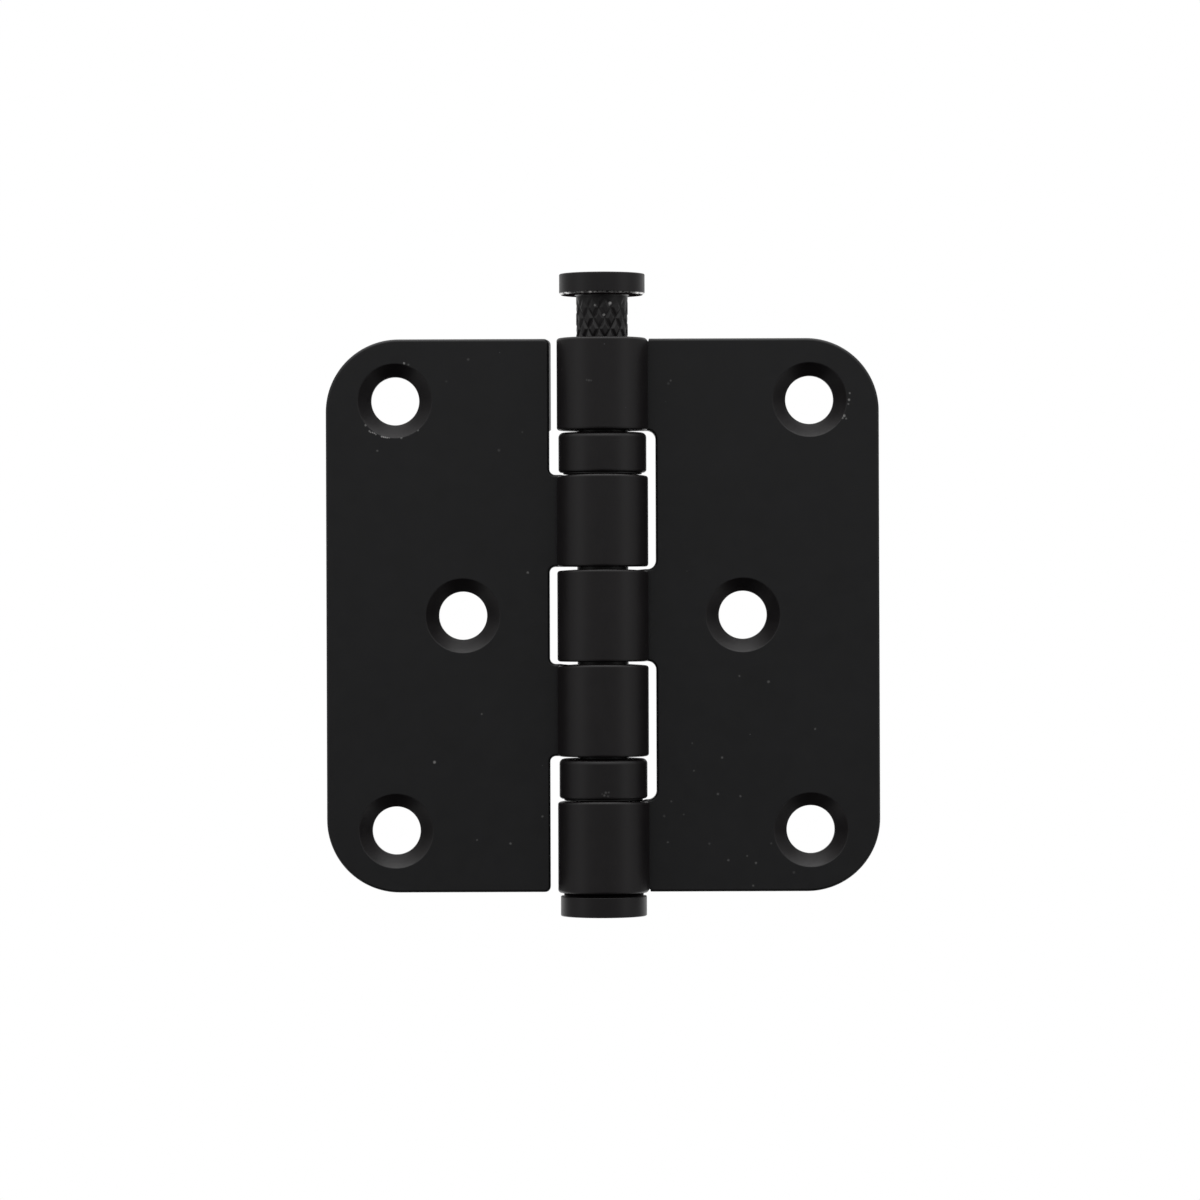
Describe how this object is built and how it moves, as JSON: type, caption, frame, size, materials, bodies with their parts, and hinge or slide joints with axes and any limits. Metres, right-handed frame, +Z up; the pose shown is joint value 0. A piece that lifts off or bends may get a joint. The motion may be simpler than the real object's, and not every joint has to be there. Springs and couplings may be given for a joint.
{
  "type": "door hinge",
  "caption": "Ball-bearing butt hinge with rounded corners, rolled knuckles, a lift-out pin with a knurled neck and flat head, and countersunk screw holes, lying open.",
  "frame": {"origin": "on the back face of the fixed leaf, midway between its two outer screw holes; the pin's axis is at x -28.5 mm, y -3.4 mm", "axes": "+Z up along the pin towards its head; +Y out of the leaves' back faces, so the countersunk fronts face -Y; +X from the pin across the fixed leaf"},
  "size_m": [0.076, 0.0125, 0.088],
  "materials": {
    "leaf_black": "satin black coat on pressed steel",
    "pin_black": "satin black coat on turned steel",
    "bearing_black": "satin black coat on drawn steel",
    "race_steel": "ground steel",
    "ball_steel": "polished bearing steel"
  },
  "bodies": {
    "fixed_side": {"fixed_leaf": "leaf_black", "bottom_tip": "pin_black", "upper_bearing_sleeve": "bearing_black", "upper_bearing_top_race": "race_steel", "lower_bearing_bottom_race": "bearing_black"},
    "swing_side": {"swing_leaf": "leaf_black", "upper_bearing_bottom_race": "bearing_black", "lower_bearing_sleeve": "bearing_black", "lower_bearing_top_race": "race_steel"},
    "pin": {"hinge_pin": "pin_black"},
    "upper_balls": {"upper_bearing_ball_01": "ball_steel", "upper_bearing_ball_02": "ball_steel", "upper_bearing_ball_03": "ball_steel", "upper_bearing_ball_04": "ball_steel", "upper_bearing_ball_05": "ball_steel", "upper_bearing_ball_06": "ball_steel", "upper_bearing_ball_07": "ball_steel", "upper_bearing_ball_08": "ball_steel", "upper_bearing_ball_09": "ball_steel", "upper_bearing_ball_10": "ball_steel", "upper_bearing_ball_11": "ball_steel", "upper_bearing_ball_12": "ball_steel", "upper_bearing_ball_13": "ball_steel", "upper_bearing_ball_14": "ball_steel", "upper_bearing_ball_15": "ball_steel"},
    "lower_balls": {"lower_bearing_ball_01": "ball_steel", "lower_bearing_ball_02": "ball_steel", "lower_bearing_ball_03": "ball_steel", "lower_bearing_ball_04": "ball_steel", "lower_bearing_ball_05": "ball_steel", "lower_bearing_ball_06": "ball_steel", "lower_bearing_ball_07": "ball_steel", "lower_bearing_ball_08": "ball_steel", "lower_bearing_ball_09": "ball_steel", "lower_bearing_ball_10": "ball_steel", "lower_bearing_ball_11": "ball_steel", "lower_bearing_ball_12": "ball_steel", "lower_bearing_ball_13": "ball_steel", "lower_bearing_ball_14": "ball_steel", "lower_bearing_ball_15": "ball_steel"}
  },
  "joints": [
    {"name": "leaf_swing", "type": "hinge", "parent": "fixed_side", "child": "swing_side", "pos_m": [-0.0285, -0.0034, 0], "axis": [0, 0, 1], "range_deg": [-125, 180]},
    {"name": "pin_slide", "type": "slide", "parent": "fixed_side", "child": "pin", "axis": [0, 0, 1], "range_m": [-0.0058, 0.066]},
    {"name": "upper_balls_orbit", "type": "hinge", "parent": "fixed_side", "child": "upper_balls", "pos_m": [-0.0285, -0.0034, 0], "axis": [0, 0, 1], "range_deg": [-62.5, 90]},
    {"name": "lower_balls_orbit", "type": "hinge", "parent": "fixed_side", "child": "lower_balls", "pos_m": [-0.0285, -0.0034, 0], "axis": [0, 0, 1], "range_deg": [-62.5, 90]}
  ],
  "couplings": [
    {"joint": "upper_balls_orbit", "follows": "leaf_swing", "ratio": 0.5},
    {"joint": "lower_balls_orbit", "follows": "leaf_swing", "ratio": 0.5}
  ]
}
